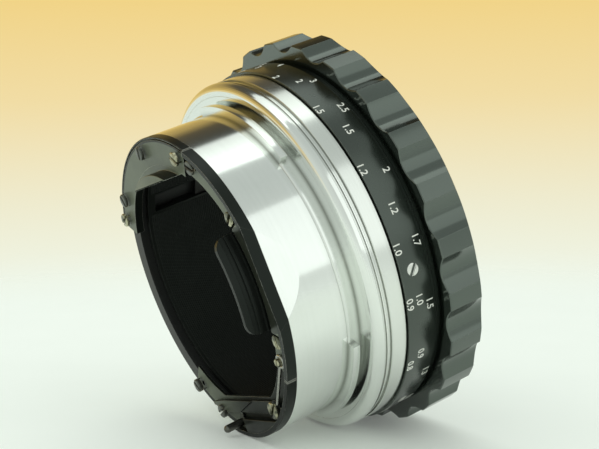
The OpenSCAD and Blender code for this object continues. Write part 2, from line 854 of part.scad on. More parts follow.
module lever_pin() {
    color("lightgray") on_axis()
        at(pin_a, pin_r, lever_back_z - pin_len) {
            cylinder(d = pin_d, h = pin_len + lever_t);
            sphere(d = pin_d);
        }
}

outer_barrel();
bayonet_ring();
seat_collar();
index_ring();
keeper_ring();
guide_keys();
key_screws();
stop_pin();
top_plate();
side_plate();
bottom_plate();
top_plate_screws();
side_plate_screws();
bottom_plate_screws();
spring_post();
lever_spring();
lever_pivot_screw();
helicoid_nut();
grip_ring();
scale_ring();
scale_lock_screws();
grip_screws();
carrier_tube();
lens_mount_ring();
mount_ring_screws();
aperture_lever();
lever_pin();
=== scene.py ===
# %% [markdown]
# # A focusing helicoid
#
# The real thing sits between a camera and its lens. Turning the scalloped ring drives a tube straight
# forwards on a coarse thread. The solids come from CAD and stay where they are. This script gives them
# their finishes, puts finer shapes in place of some, adds the small things that CAD leaves out, and sets up
# a camera, a floor and light.

# %% Load the solids
import math

import bmesh
import bpy
from bmesh.types import BMEdge, BMFace, BMVert
from mathutils import Matrix, Vector


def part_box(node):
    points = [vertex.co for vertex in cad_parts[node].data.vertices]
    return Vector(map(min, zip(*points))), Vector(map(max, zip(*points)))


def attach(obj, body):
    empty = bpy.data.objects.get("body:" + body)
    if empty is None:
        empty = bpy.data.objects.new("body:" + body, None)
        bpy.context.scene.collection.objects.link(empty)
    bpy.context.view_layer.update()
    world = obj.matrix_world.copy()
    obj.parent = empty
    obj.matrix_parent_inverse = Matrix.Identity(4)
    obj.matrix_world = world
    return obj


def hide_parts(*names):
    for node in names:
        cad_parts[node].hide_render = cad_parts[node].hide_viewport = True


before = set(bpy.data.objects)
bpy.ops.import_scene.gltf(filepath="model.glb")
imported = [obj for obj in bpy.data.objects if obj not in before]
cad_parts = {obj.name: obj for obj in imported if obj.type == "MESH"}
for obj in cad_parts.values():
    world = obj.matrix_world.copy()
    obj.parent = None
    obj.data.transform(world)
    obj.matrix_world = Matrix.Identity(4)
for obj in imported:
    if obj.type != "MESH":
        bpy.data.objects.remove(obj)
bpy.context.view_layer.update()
MM = 0.001

# %% [markdown]
# ## Camera
#
# The picture was taken from behind, a little to the left and almost level with the floor that the object
# lies on. In the frame of the object the camera stands to the left of the barrel and leans over. A camera
# can be aimed with a constraint, but three plain turns say more clearly what was measured.

# %% Camera
CAMERA_AT = Vector((-122.7, -268.5, 24.8)) * MM
CAMERA_AZIMUTH = math.radians(-26.5)
CAMERA_DIP = math.radians(3.85)
CAMERA_LEAN = math.radians(-21)
SENSOR_WIDTH = 36
FOCAL_LENGTH = 78.1

camera_data = bpy.data.cameras.new("camera")
camera_data.sensor_width = SENSOR_WIDTH
camera_data.lens = FOCAL_LENGTH
camera = bpy.data.objects.new("camera", camera_data)
camera.matrix_world = (
    Matrix.Translation(CAMERA_AT)
    @ Matrix.Rotation(CAMERA_AZIMUTH, 4, "Z")
    @ Matrix.Rotation(math.pi / 2 - CAMERA_DIP, 4, "X")
    @ Matrix.Rotation(CAMERA_LEAN, 4, "Z")
)
bpy.context.collection.objects.link(camera)
bpy.context.scene.camera = camera
bpy.context.scene.view_settings.view_transform = "Standard"
print("camera:", [round(v / MM, 1) for v in CAMERA_AT])

# %% [markdown]
# ## Where things are
#
# Every place on a turned object is easy to give as a clock angle, a radius and a distance along the axis.
# The axis runs along X, and the clock starts at the top and runs clockwise when seen from behind.

# %% Clock coordinates
FORWARD = Vector((1, 0, 0))
REARWARD = Vector((-1, 0, 0))


def on_clock(clock, radius, along):
    """The point at a clock angle in degrees, a radius and a distance along the axis."""
    turn = math.radians(clock)
    return Vector((along, -radius * math.sin(turn), radius * math.cos(turn)))


scale_low, scale_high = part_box("scale_ring")
grip_low, grip_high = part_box("grip_ring")
scale_radius = scale_high.z
grip_radius = max(grip_high.z, grip_high.y)
print("radii:", [round(r / MM, 2) for r in (scale_radius, grip_radius)])

# %% [markdown]
# ## Floor
#
# The object lies on the rear edge of its grip and on the rim of its barrel, so the floor is a tilted plane
# through those two points. It could be a big square, but a disc that fades out at its edge melts into the
# background without a horizon line. Seen from below it is clear, so that it never hides the object.

# %% Floor
REST_CLOCK = 190.7
FLOOR_RADIUS = 0.6
FLOOR_SIDES = 96
FLOOR_GAP = 0.05 * MM
CREASE = math.radians(35)


def mesh_object(name, bm):
    """A new object from a bmesh, smooth but for its creases."""
    for face in bm.faces:
        face.smooth = True
    mesh = bpy.data.meshes.new(name)
    bm.to_mesh(mesh)
    bm.free()
    mesh.set_sharp_from_angle(angle=CREASE)
    made = bpy.data.objects.new(name, mesh)
    bpy.context.collection.objects.link(made)
    return made


rim_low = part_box("bottom_plate")[0]
touch_rim = on_clock(REST_CLOCK, -rim_low.z, rim_low.x)
touch_grip = on_clock(REST_CLOCK, grip_radius, scale_high.x)
floor_x = (touch_grip - touch_rim).normalized()
floor_y = on_clock(REST_CLOCK + 90, 1, 0)
floor_up = floor_x.cross(floor_y)
bm = bmesh.new()
bmesh.ops.create_circle(bm, cap_ends=True, segments=FLOOR_SIDES, radius=FLOOR_RADIUS)
floor = mesh_object("floor", bm)
floor_place = Matrix((floor_x, floor_y, floor_up)).transposed().to_4x4()
floor_place.translation = touch_rim - floor_up * FLOOR_GAP
floor.matrix_world = floor_place
print("floor normal:", [round(v, 3) for v in floor_up])

# %% [markdown]
# ## Building materials
#
# A material is a small graph of nodes, and a few short helpers keep the graphs readable. The first adds a
# node and fills its sockets: one that is given another node's output gets a link, and one that is given a
# number or a colour gets that value. The others do the sums that come back in most finishes.

# %% Node helpers
def add_node(tree, kind, settings=None, **sockets):
    """Adds a node and fills its sockets, by name with underscores for spaces, or by i and a number."""
    node = tree.nodes.new(kind)
    for name, value in (settings or {}).items():
        setattr(node, name, value)
    for name, value in sockets.items():
        words = name.replace("_", " ")
        socket = node.inputs[int(words[1:])] if words[1:].isdigit() else node.inputs[words]
        if isinstance(value, bpy.types.NodeSocket):
            tree.links.new(value, socket)
        else:
            socket.default_value = value
    return node


def feed(tree, node, **sources):
    """Links outputs to the named sockets of a node."""
    for name, source in sources.items():
        tree.links.new(source, node.inputs[name.replace("_", " ")])


def math_node(tree, operation, first, second=0.0, third=0.0, clamp=False):
    """The output of a Math node."""
    settings = {"operation": operation, "use_clamp": clamp}
    return add_node(tree, "ShaderNodeMath", settings, i0=first, i1=second, i2=third).outputs[0]


def product(tree, first, *others):
    """The product of several values."""
    for other in others:
        first = math_node(tree, "MULTIPLY", first, other)
    return first


def vector_node(tree, operation, first, second=(0, 0, 0)):
    """A Vector Math node."""
    return add_node(tree, "ShaderNodeVectorMath", {"operation": operation}, i0=first, i1=second)


def stretch(tree, value, low, high, to=(0.0, 1.0), smooth=False):
    """A value carried from one range to another, and held inside it."""
    settings = {"interpolation_type": "SMOOTHSTEP" if smooth else "LINEAR"}
    made = add_node(tree, "ShaderNodeMapRange", settings, i0=value, i1=low, i2=high, i3=to[0], i4=to[1])
    return made.outputs[0]


def mix_colour(tree, factor, first, second):
    """The colour between two colours."""
    ends = [end if isinstance(end, bpy.types.NodeSocket) else (*end, 1) for end in (first, second)]
    made = add_node(tree, "ShaderNodeMix", {"data_type": "RGBA"}, i0=factor, i6=ends[0], i7=ends[1])
    return made.outputs[2]


# %% [markdown]
# A pattern on turned metal depends on where a point lies: how far along the axis, how far from it, and which
# way the surface faces there. These helpers read that from the object's own coordinates, so that a pattern
# stays on its piece when the piece moves.

# %% Places on a surface
def object_place(tree):
    """Where a point lies in the frame of the object."""
    return add_node(tree, "ShaderNodeTexCoord").outputs["Object"]


def surface_normal(tree):
    """Which way the surface faces."""
    return add_node(tree, "ShaderNodeNewGeometry").outputs["Normal"]


def parts_of(tree, vector):
    """The X, Y and Z of a vector."""
    return add_node(tree, "ShaderNodeSeparateXYZ", Vector=vector).outputs


def axis_radius(tree, place):
    """How far a place is from the axis."""
    across = vector_node(tree, "MULTIPLY", place, (0, 1, 1)).outputs[0]
    return vector_node(tree, "LENGTH", across).outputs["Value"]


def noise(tree, place, scale, detail, roughness=0.5):
    """A cloudy pattern."""
    made = add_node(
        tree, "ShaderNodeTexNoise", Vector=place, Scale=scale, Detail=detail, Roughness=roughness)
    return made.outputs["Fac"]


# %% [markdown]
# A material starts with its main shader. An effect that several materials share is a group of nodes with
# named inputs and outputs, which is built once and placed in each of them with its own values.

# %% Materials and groups
def main_shader(material):
    """The shader that a material starts with."""
    return material.node_tree.nodes["Principled BSDF"]


def start_material(name, **sockets):
    """A material, its tree and its main shader with the given plain values."""
    material = bpy.data.materials.new(name)
    material.use_nodes = True
    shader = main_shader(material)
    for socket_name, value in sockets.items():
        shader.inputs[socket_name.replace("_", " ")].default_value = value
    return material, material.node_tree, shader


def start_group(name, inputs, outputs):
    """A shader node group with float inputs and outputs, and its two end nodes."""
    group = bpy.data.node_groups.new(name, "ShaderNodeTree")
    for socket_name, value in inputs.items():
        socket = group.interface.new_socket(socket_name, in_out="INPUT", socket_type="NodeSocketFloat")
        socket.default_value = value
    for socket_name in outputs:
        group.interface.new_socket(socket_name, in_out="OUTPUT", socket_type="NodeSocketFloat")
    return group, group.nodes.new("NodeGroupInput"), group.nodes.new("NodeGroupOutput")


def use_group(tree, group, **sockets):
    """Places a node group in a material and gives its outputs."""
    return add_node(tree, "ShaderNodeGroup", {"node_tree": group}, **sockets).outputs


# %% [markdown]
# ## Effects that several finishes share
#
# Turned metal keeps the fine rings that the lathe tool left. A ring has the same distance along the axis on
# a tube and the same radius on a face, so a stripe pattern that runs on the sum of the two follows both. A
# bitmap could hold such rings too, but this way they never stretch or repeat.

# %% Lathe rings
FINE_RINGS = {"scale": 1.0, "detail": 2.0}
BROAD_RINGS = {"scale": 0.12, "detail": 3.0}


def stripes(tree, along, scale, detail):
    """Uneven stripes across one direction."""
    made = add_node(
        tree, "ShaderNodeTexNoise", {"noise_dimensions": "1D"}, W=along, Scale=scale, Detail=detail)
    return made.outputs["Fac"]


lathe_rings, group_in, group_out = start_group(
    "lathe_rings", {"Rings per mm": 12.0, "Unevenness": 0.5}, ["Height", "Tone"])
place = object_place(lathe_rings)
along = math_node(lathe_rings, "ADD", parts_of(lathe_rings, place)["X"], axis_radius(lathe_rings, place))
rings = product(lathe_rings, group_in.outputs["Rings per mm"], 1 / MM, along)
broad = stripes(lathe_rings, rings, **BROAD_RINGS)
tone = product(lathe_rings, broad, group_in.outputs["Unevenness"])
feed(lathe_rings, group_out, Height=stripes(lathe_rings, rings, **FINE_RINGS), Tone=tone)
print("group:", lathe_rings.name)

# %% [markdown]
# Handled metal is never evenly bright. Fingers and storage leave a soft cloudy film and a few finer specks.
# Two noises of very different size give them.

# %% Handling marks
SPECKS_IN_A_PATCH = 14.0
SPECK_EDGE = (0.62, 0.75)

handling_marks, group_in, group_out = start_group(
    "handling_marks", {"Patch size mm": 9.0}, ["Film", "Specks"])
place = object_place(handling_marks)
patch_scale = math_node(handling_marks, "DIVIDE", 1 / MM, group_in.outputs["Patch size mm"])
clouds = noise(handling_marks, place, patch_scale, detail=4.0, roughness=0.6)
speck_scale = product(handling_marks, patch_scale, SPECKS_IN_A_PATCH)
grains = noise(handling_marks, place, speck_scale, detail=2.0)
feed(handling_marks, group_out, Film=clouds, Specks=stretch(handling_marks, grains, *SPECK_EDGE))
print("group:", handling_marks.name)

# %% [markdown]
# Black finishes rub off where something touches them first, which is on every outer edge. The Bevel node
# looks a little way round each point: where its softened normal turns away from the true one, there is an
# edge near. A noise then eats into that line, because wear is never even.

# %% Edge wear
EDGE_SAMPLES = 6
EDGE_CONTRAST = 9.0
WEAR_PATCHES = 900.0
NOISE_MIDDLE = 0.5

edge_wear, group_in, group_out = start_group(
    "edge_wear", {"Reach mm": 0.25, "Amount": 0.5}, ["Mask"])
reach = product(edge_wear, group_in.outputs["Reach mm"], MM)
softened = add_node(edge_wear, "ShaderNodeBevel", {"samples": EDGE_SAMPLES}, Radius=reach).outputs[0]
facing = vector_node(edge_wear, "DOT_PRODUCT", softened, surface_normal(edge_wear)).outputs["Value"]
edge = math_node(edge_wear, "SUBTRACT", 1.0, facing)
patches = noise(edge_wear, object_place(edge_wear), WEAR_PATCHES, detail=3.0)
rubbed = math_node(edge_wear, "ADD", patches, group_in.outputs["Amount"])
rubbed = math_node(edge_wear, "SUBTRACT", rubbed, NOISE_MIDDLE)
worn = math_node(edge_wear, "MULTIPLY", product(edge_wear, edge, EDGE_CONTRAST), rubbed, clamp=True)
feed(edge_wear, group_out, Mask=worn)
print("group:", edge_wear.name)

# %% [markdown]
# In every corner and groove the chrome is darkened with painted shade. The Ambient Occlusion node finds such
# places: it says how much of the space near a point is open.

# %% Painted shade in corners
CORNER_SAMPLES = 8

shade_in_corners, group_in, group_out = start_group(
    "shade_in_corners", {"Reach mm": 1.2, "Amount": 1.0}, ["Mask"])
reach = product(shade_in_corners, group_in.outputs["Reach mm"], MM)
open_space = add_node(
    shade_in_corners, "ShaderNodeAmbientOcclusion", {"samples": CORNER_SAMPLES}, Distance=reach)
closed_in = math_node(shade_in_corners, "SUBTRACT", 1.0, open_space.outputs["AO"])
darkened = math_node(shade_in_corners, "MULTIPLY", closed_in, group_in.outputs["Amount"], clamp=True)
feed(shade_in_corners, group_out, Mask=darkened)
print("group:", shade_in_corners.name)

# %% [markdown]
# ## Chrome
#
# The barrel, the lug ring and the collar are turned brass with satin chrome. Chrome is a mirror with a faint
# green-grey tint, so the shader is fully metallic and fairly smooth, and the lathe rings only break up the
# reflections. The same recipe with other numbers gives the ring that carries the index.

# %% Chrome finishes
# The colour of the painted shade in corners and grooves.
CORNER_SHADE_COLOUR = (0.13, 0.14, 0.105)
CORNER_SHADE_REACH = 1.2
METAL_FILM = 0.6


def filmed(tree, film, roughness, swing, least):
    """A roughness that varies with the film, between shares of the plain one."""
    return math_node(tree, "MULTIPLY_ADD", film, roughness * swing, roughness * least)


def soft_bump(tree, shader, edge_radius, depth, height):
    """Feeds a shader a normal with softened edges and a fine bump. Sizes are in mm."""
    soft_edge = add_node(tree, "ShaderNodeBevel", {"samples": EDGE_SAMPLES}, Radius=edge_radius * MM)
    bump = add_node(
        tree, "ShaderNodeBump", Strength=0.5, Distance=depth * MM, Height=height,
        Normal=soft_edge.outputs[0])
    feed(tree, shader, Normal=bump.outputs[0])


def turned_metal(name, bright, dull, roughness, rings_per_mm, ring_depth, edge_radius=0.12, grime=0.0):
    """A bare turned metal with lathe rings, a film of handling, painted shade in corners and softened edges.
    """
    material, tree, shader = start_material(name, Metallic=1.0)
    marks = use_group(tree, handling_marks, Patch_size_mm=11.0)
    rings = use_group(tree, lathe_rings, Rings_per_mm=rings_per_mm, Unevenness=0.35)
    film = math_node(tree, "MULTIPLY_ADD", marks["Film"], METAL_FILM, rings["Tone"], clamp=True)
    colour = mix_colour(tree, film, bright, dull)
    # Painted shade: the colour darkens where corners close in.
    if grime:
        corners = use_group(tree, shade_in_corners, Reach_mm=CORNER_SHADE_REACH, Amount=grime)
        colour = mix_colour(tree, corners["Mask"], colour, CORNER_SHADE_COLOUR)
    rough = filmed(tree, marks["Film"], roughness, swing=0.5, least=0.75)
    feed(tree, shader, Base_Color=colour, Roughness=rough)
    soft_bump(tree, shader, edge_radius, ring_depth, rings["Height"])
    return material


satin_chrome = turned_metal(
    "satin_chrome", bright=(0.86, 0.88, 0.855), dull=(0.74, 0.765, 0.73), roughness=0.13,
    rings_per_mm=9.0, ring_depth=0.0008, edge_radius=0.07, grime=0.9)
index_chrome = turned_metal(
    "index_chrome", bright=(0.80, 0.82, 0.79), dull=(0.70, 0.72, 0.68), roughness=0.18,
    rings_per_mm=14.0, ring_depth=0.0008, edge_radius=0.07, grime=0.9)
print("chrome:", satin_chrome.name, index_chrome.name)

# %% [markdown]
# The barrel is one piece of metal with two finishes: chrome outside, and black in the bore and on the rear
# face, so that no light scatters inside. Everything nearer to the axis than the middle of the wall is black,
# and so is whatever faces backwards at the rear end, so the mask compares a radius, a normal and a place
# along the axis.

# %% Black bore of the barrel
BLACK_INSIDE = 34.3 * MM
BLACK_BEHIND = -10 * MM
FACES_BACK = -0.5
BORE_BLACK = (0.008, 0.009, 0.008)
BORE_ROUGHNESS = 0.5


def fed_by(shader, socket_name):
    """The output that feeds a socket."""
    return shader.inputs[socket_name].links[0].from_socket


tree = satin_chrome.node_tree
shader = main_shader(satin_chrome)
place = object_place(tree)
in_bore = math_node(tree, "LESS_THAN", axis_radius(tree, place), BLACK_INSIDE)
backwards = math_node(tree, "LESS_THAN", parts_of(tree, surface_normal(tree))["X"], FACES_BACK)
at_rear = math_node(tree, "LESS_THAN", parts_of(tree, place)["X"], BLACK_BEHIND)
black_mask = math_node(tree, "MULTIPLY_ADD", backwards, at_rear, in_bore, clamp=True)
colour = mix_colour(tree, black_mask, fed_by(shader, "Base Color"), BORE_BLACK)
matt = product(tree, black_mask, BORE_ROUGHNESS)
rough = math_node(tree, "MAXIMUM", fed_by(shader, "Roughness"), matt)
feed(
    tree, shader, Base_Color=colour, Roughness=rough,
    Metallic=math_node(tree, "SUBTRACT", 1.0, black_mask))
print("chrome nodes:", len(tree.nodes))

# %% [markdown]
# ## Other bare metals
#
# The nut is brass, the lens ring is a light metal, and the keys, the pin, the spring and the screws are
# steel. They differ in colour and polish alone, so one table of numbers is enough.

# %% Bare metals
# bright and dull colour, roughness, rings per mm, depth of a ring in mm
BARE_METALS = {
    "mount_metal": ((0.62, 0.63, 0.60), (0.46, 0.47, 0.44), 0.28, 8.0, 0.002),
    "nut_brass": ((0.72, 0.52, 0.22), (0.50, 0.34, 0.13), 0.30, 7.0, 0.002),
    "key_steel": ((0.05, 0.05, 0.047), (0.025, 0.025, 0.023), 0.40, 5.0, 0.002),
    "spring_steel": ((0.44, 0.44, 0.40), (0.26, 0.26, 0.235), 0.26, 6.0, 0.001),
    "pin_steel": ((0.20, 0.20, 0.18), (0.07, 0.07, 0.06), 0.30, 4.0, 0.001),
    "bright_screw": ((0.80, 0.81, 0.78), (0.62, 0.62, 0.58), 0.20, 6.0, 0.001),
    "plate_screw": ((0.56, 0.54, 0.38), (0.32, 0.31, 0.215), 0.32, 5.0, 0.002),
}

finishes = {"chrome": satin_chrome, "index_chrome": index_chrome}
for name, numbers in BARE_METALS.items():
    finishes[name] = turned_metal(name, *numbers)
print("bare metals:", len(BARE_METALS))

# %% [markdown]
# The screws of the rear plates have lost most of their black. What is left is a dull, yellowish grey metal
# that is darker in patches.

# %% Worn screw heads
SCREW_DARK = (0.10, 0.105, 0.075)
DARK_PATCHES = 420.0
DARK_EDGE = (0.46, 0.58)

tree = finishes["plate_screw"].node_tree
shader = main_shader(finishes["plate_screw"])
patches = noise(tree, object_place(tree), DARK_PATCHES, detail=2.0)
blackened = stretch(tree, patches, *DARK_EDGE)
feed(tree, shader, Base_Color=mix_colour(tree, blackened, fed_by(shader, "Base Color"), SCREW_DARK))
print("screw nodes:", len(tree.nodes))

# %% [markdown]
# ## Black finishes
#
# The scale ring, the grip and the rear plates are black over metal. Seen flat on they are nearly black, and
# at a glancing angle they mirror the pale surroundings, as any lacquer does, so the shader is not metallic.
# Metal shows where the edges are rubbed, which the wear mask brings in through Base Color and Metallic
# together. The rear plates need two masks more: the rim is rubbed bare at the two splits between them, and
# what faces backwards inside the lip turns grey, partly with dust and partly with painted sheen. In the
# recess at the bottom that grey also fades along a ramp across, which is painted shade.

# %% Splits, dust and painted sheen
SPLIT_CLOCKS = (33.6, 128.7)
SPLIT_FADE = (0.42 * MM, 0.252 * MM)
SPLIT_FROM = 34.2 * MM
LIP_RADIUS = 34.4 * MM
# Rear faces inside the lip turn grey, partly with dust and partly with painted sheen.
DUST_SHEEN_FACES_BACK = -0.6
DUST_SHEEN_LEAST = 0.4
# Painted shade: a ramp across takes the grey down to a small share towards one side.
SHADE_RAMP_RANGE = (0.04, 1.0)
WINDOW_SIDE = -25 * MM
WINDOW_HALF = 11.5 * MM
WINDOW_DROP = 0.82


def split_wear(tree):
    """A mask of the rim's corners at the two splits between the rear plates."""
    place = object_place(tree)
    masks = []
    for clock in SPLIT_CLOCKS:
        reach = vector_node(tree, "DOT_PRODUCT", place, on_clock(clock, 1, 0)).outputs["Value"]
        aside = vector_node(tree, "DOT_PRODUCT", place, on_clock(clock + 90, 1, 0)).outputs["Value"]
        near = stretch(tree, math_node(tree, "ABSOLUTE", aside), *SPLIT_FADE)
        masks.append(product(tree, near, math_node(tree, "GREATER_THAN", reach, SPLIT_FROM)))
    return math_node(tree, "ADD", *masks, clamp=True)


def dust_and_sheen(tree, film, ramp):
    """Dust and painted sheen inside the lip, less in the side plate's window, with painted shade on a ramp.
    """
    place = object_place(tree)
    sides = parts_of(tree, place)
    amount = math_node(tree, "ADD", film, DUST_SHEEN_LEAST, clamp=True)
    # Grey on faces that look backwards inside the lip: dust, and painted sheen.
    rearward = math_node(tree, "LESS_THAN", parts_of(tree, surface_normal(tree))["X"], DUST_SHEEN_FACES_BACK)
    inside = math_node(tree, "LESS_THAN", axis_radius(tree, place), LIP_RADIUS)
    in_window = product(
        tree, math_node(tree, "LESS_THAN", sides["Y"], WINDOW_SIDE),
        math_node(tree, "LESS_THAN", math_node(tree, "ABSOLUTE", sides["Z"]), WINDOW_HALF))
    left = math_node(tree, "MULTIPLY_ADD", in_window, -WINDOW_DROP, 1.0)
    masks = [rearward, amount, inside, left]
    # Painted shade: the grey fades along a ramp across.
    if ramp:
        masks.append(stretch(tree, sides["Y"], ramp[0] * MM, ramp[1] * MM, to=SHADE_RAMP_RANGE))
    return product(tree, *masks)


# %% [markdown]
# With those masks at hand, one recipe serves all the black pieces. They differ in gloss, in how fine the
# tool marks are and in how much is rubbed away.

# %% Black finishes
GREENISH = (0.87, 1.0, 0.90, 1)
BLACK_FILM = 0.5
RING_COAT = dict(black=(0.002, 0.0027, 0.002), grey=(0.006, 0.008, 0.006), wear=0.25, reach=0.10)
PLATE_COAT = dict(
    black=(0.002, 0.0025, 0.002), grey=(0.006, 0.0075, 0.006), dust=(0.122, 0.136, 0.098), reach=0.10,
    rings_per_mm=2.0, grain=0.6)
TUBE_COAT = dict(
    black=(0.003, 0.0035, 0.003), grey=(0.008, 0.009, 0.008), metal=(0.4, 0.4, 0.38), rings_per_mm=1.5)


def black_finish(
        name, black, grey, metal, roughness, wear, reach, gloss, rings_per_mm, ring_depth=0.001, grain=0.0,
        edge_radius=0.12, dust=None, dust_ramp=None):
    """A black finish over metal, with lathe rings or grain, handling marks and worn edges."""
    material, tree, shader = start_material(name, IOR=gloss, Specular_Tint=GREENISH)
    marks = use_group(tree, handling_marks, Patch_size_mm=7.0)
    rings = use_group(tree, lathe_rings, Rings_per_mm=rings_per_mm, Unevenness=0.3)
    bare = use_group(tree, edge_wear, Reach_mm=reach, Amount=wear)["Mask"]
    film = math_node(tree, "MULTIPLY_ADD", marks["Film"], BLACK_FILM, rings["Tone"])
    coat = mix_colour(tree, film, black, grey)
    # Grey on rear faces: partly dust, partly painted sheen.
    if dust:
        coat = mix_colour(tree, dust_and_sheen(tree, marks["Film"], dust_ramp), coat, dust)
        bare = math_node(tree, "MAXIMUM", bare, product(tree, split_wear(tree), marks["Film"]))
    rough = filmed(tree, marks["Film"], roughness, swing=0.6, least=0.7)
    feed(tree, shader, Base_Color=mix_colour(tree, bare, coat, metal), Metallic=bare, Roughness=rough)
    height = math_node(tree, "MULTIPLY_ADD", marks["Specks"], grain, rings["Height"])
    soft_bump(tree, shader, edge_radius, ring_depth, height)
    return material


BLACK_FINISHES = {
    "black_ring": dict(RING_COAT, metal=(0.5, 0.52, 0.48), roughness=0.26, gloss=1.85, rings_per_mm=10.0),
    "grip_black": dict(RING_COAT, metal=(0.45, 0.47, 0.43), roughness=0.15, gloss=2.1, rings_per_mm=5.0),
    "black_plate": dict(PLATE_COAT, metal=(0.62, 0.62, 0.56), roughness=0.34, wear=0.30, gloss=1.33),
    # A copy of the plate finish with painted shade, for the recess at the bottom.
    "shaded_recess_black": dict(
        PLATE_COAT, metal=(0.5, 0.5, 0.45), roughness=0.40, wear=0.20, gloss=1.22, dust_ramp=(0, 20)),
    "carrier_black": dict(
        TUBE_COAT, roughness=0.36, wear=-0.2, reach=0.12, gloss=1.30, ring_depth=0.012, edge_radius=0.2),
    "rib_black": dict(TUBE_COAT, roughness=0.55, wear=-0.5, reach=0.05, gloss=1.25),
    "dark_screw": dict(
        black=(0.02, 0.02, 0.018), grey=(0.06, 0.056, 0.045), metal=(0.62, 0.55, 0.40), roughness=0.30,
        wear=0.55, reach=0.16, gloss=1.6, rings_per_mm=4.0),
}
for name, numbers in BLACK_FINISHES.items():
    finishes[name] = black_finish(name, **numbers)
print("black finishes:", len(BLACK_FINISHES))

# %% [markdown]
# The numbers on the scale are filled with white paint, and the mark that they are read against is black.
# Paint is plain and matt, so a little dirt in its colour is all that it needs to look old.

# %% Paints
def filled_paint(name, clean, dirty):
    """A matt paint with a film of dirt."""
    material, tree, shader = start_material(name)
    film = use_group(tree, handling_marks, Patch_size_mm=2.5)["Film"]
    rough = filmed(tree, film, 1.0, swing=0.3, least=0.5)
    feed(tree, shader, Base_Color=mix_colour(tree, film, clean, dirty), Roughness=rough)
    return material


white_paint = filled_paint("white_paint", clean=(0.86, 0.87, 0.82), dirty=(0.62, 0.63, 0.57))
black_paint = filled_paint("black_paint", clean=(0.006, 0.006, 0.006), dirty=(0.02, 0.02, 0.018))
print("paints:", white_paint.name, black_paint.name)

# %% [markdown]
# Each solid names the finish that it wants. Giving every solid of one finish the same material keeps the set
# small. A few solids get another finish than they name.

# %% Dress the solids
# The bottom plate and the lever get the copy of the plate finish with painted shade.
OTHER_FINISHES = {"lever_pin": "pin_steel", "bottom_plate": "shaded_recess_black", "aperture_lever": "shaded_recess_black"}

for name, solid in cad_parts.items():
    for slot in solid.material_slots:
        wanted = slot.material.name.split(".")[0]
        slot.material = finishes[OTHER_FINISHES.get(name, wanted)]
print("solids dressed:", len(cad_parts))

# %% [markdown]
# ## Slotted screws
#
# Old instruments are held together by cheese-head screws with a straight slot. A slot could be cut with a
# boolean, but a disc that is split along two lines needs none: its two outer parts are pulled up, and the
# strip between them stays behind as the floor of the slot. The rim is then pulled down to make the side, the
# underside is closed, and a shank is drawn out of it. A small bevel on the upper edges catches the light.

# %% One screw
SLOT_SHARE = 0.14
HEAD_BEVEL = 0.07
HEAD_SIDES = 48


def only(kind, geom):
    """The vertices, edges or faces among mixed parts of a mesh."""
    return [part for part in geom if isinstance(part, kind)]


def open_edges(bm):
    """The edges that have a face on one side only."""
    return [edge for edge in bm.edges if edge.is_boundary]


def pull(bm, faces, vec):
    """Extrudes faces by a vector, and gives the parts that moved."""
    geom = bmesh.ops.extrude_face_region(bm, geom=faces)["geom"]
    bmesh.ops.translate(bm, vec=vec, verts=only(BMVert, geom))
    return geom


def round_edges(bm, edges, offset, segments=3):
    """Bevels edges round."""
    bmesh.ops.bevel(
        bm, geom=edges, offset=offset, offset_type="OFFSET", affect="EDGES", segments=segments, profile=0.5,
        material=-1)


def slotted_screw(diameter, height, shank, length):
    """A cheese-head screw along Z, with the middle of its head's top at the origin. Sizes are in mm."""
    bm = bmesh.new()
    slot_half = SLOT_SHARE * diameter / 2
    depth = height / 2
    bmesh.ops.create_circle(bm, cap_ends=True, segments=HEAD_SIDES, radius=diameter / 2)
    for side in (-slot_half, slot_half):
        everything = bm.verts[:] + bm.edges[:] + bm.faces[:]
        bmesh.ops.bisect_plane(bm, geom=everything, plane_co=(0, side, 0), plane_no=(0, 1, 0))
    pull(bm, [face for face in bm.faces if abs(face.calc_center_median().y) > slot_half], (0, 0, depth))
    upper = [edge for edge in bm.edges if all(vert.co.z > depth / 2 for vert in edge.verts)]
    rim = bmesh.ops.extrude_edge_only(bm, edges=open_edges(bm))["geom"]
    bmesh.ops.translate(bm, vec=(0, 0, depth - height), verts=only(BMVert, rim))
    underside = bmesh.ops.holes_fill(bm, edges=open_edges(bm))["faces"]
    bmesh.ops.inset_region(bm, faces=underside, thickness=(diameter - shank) / 2, use_even_offset=True)
    pull(bm, underside, (0, 0, -length))
    round_edges(bm, upper, HEAD_BEVEL * diameter)
    bmesh.ops.translate(bm, vec=(0, 0, -depth), verts=bm.verts)
    bmesh.ops.scale(bm, vec=(MM, MM, MM), verts=bm.verts)
    return bm


test_screw = slotted_screw(3.2, 1.3, 1.2, 3.0)
print("faces of a screw:", len(test_screw.faces))
test_screw.free()

# %% [markdown]
# One screw is enough for a whole set. It is copied to every place in the set, turned so that its head points
# out of the surface, and given its own turn of the slot, because no two screws stop at the same angle.

# %% Sets of screws
WELD = 0.0005 * MM


def add_piece(name, bm, body, finish, stands_for=()):
    """Closes a bmesh, dresses it and lets it ride on a body."""
    bmesh.ops.remove_doubles(bm, verts=bm.verts, dist=WELD)
    bmesh.ops.recalc_face_normals(bm, faces=bm.faces)
    piece = mesh_object(name, bm)
    piece.data.materials.append(finish)
    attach(piece, body)
    if stands_for:
        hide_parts(*stands_for)
    print(name, "faces:", len(piece.data.polygons))
    return piece


